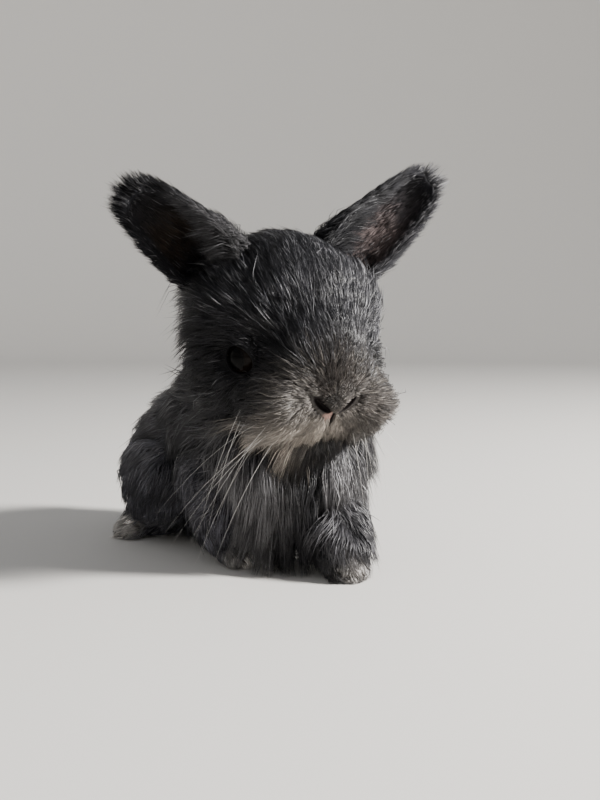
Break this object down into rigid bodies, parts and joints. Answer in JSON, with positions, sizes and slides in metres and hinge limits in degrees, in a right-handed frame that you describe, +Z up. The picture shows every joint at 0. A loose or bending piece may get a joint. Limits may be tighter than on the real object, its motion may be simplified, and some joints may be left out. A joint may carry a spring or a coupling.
{
  "type": "angora rabbit kit, standing still model",
  "caption": "Life-size young angora rabbit with a woolly dark coat, standing with its ears spread and its head lowered, for display.",
  "frame": {"origin": "middle of the whole model's footprint box, on the floor under the soles", "axes": "+Z up, -Y the way the rabbit faces, +X its left side"},
  "size_m": [0.1259, 0.1583, 0.1377],
  "materials": {
    "coat": "charcoal black wool with pale ticked tips, soft and matt",
    "eye": "wet, glossy, nearly black"
  },
  "bodies": {
    "root": {"head": "coat", "neck": "coat", "torso": "coat", "tail": "coat", "ear_left": "coat", "ear_right": "coat", "foreleg_left": "coat", "foreleg_right": "coat", "hind_leg_left": "coat", "hind_leg_right": "coat", "eye_left": "eye", "eye_right": "eye"}
  },
  "joints": []
}
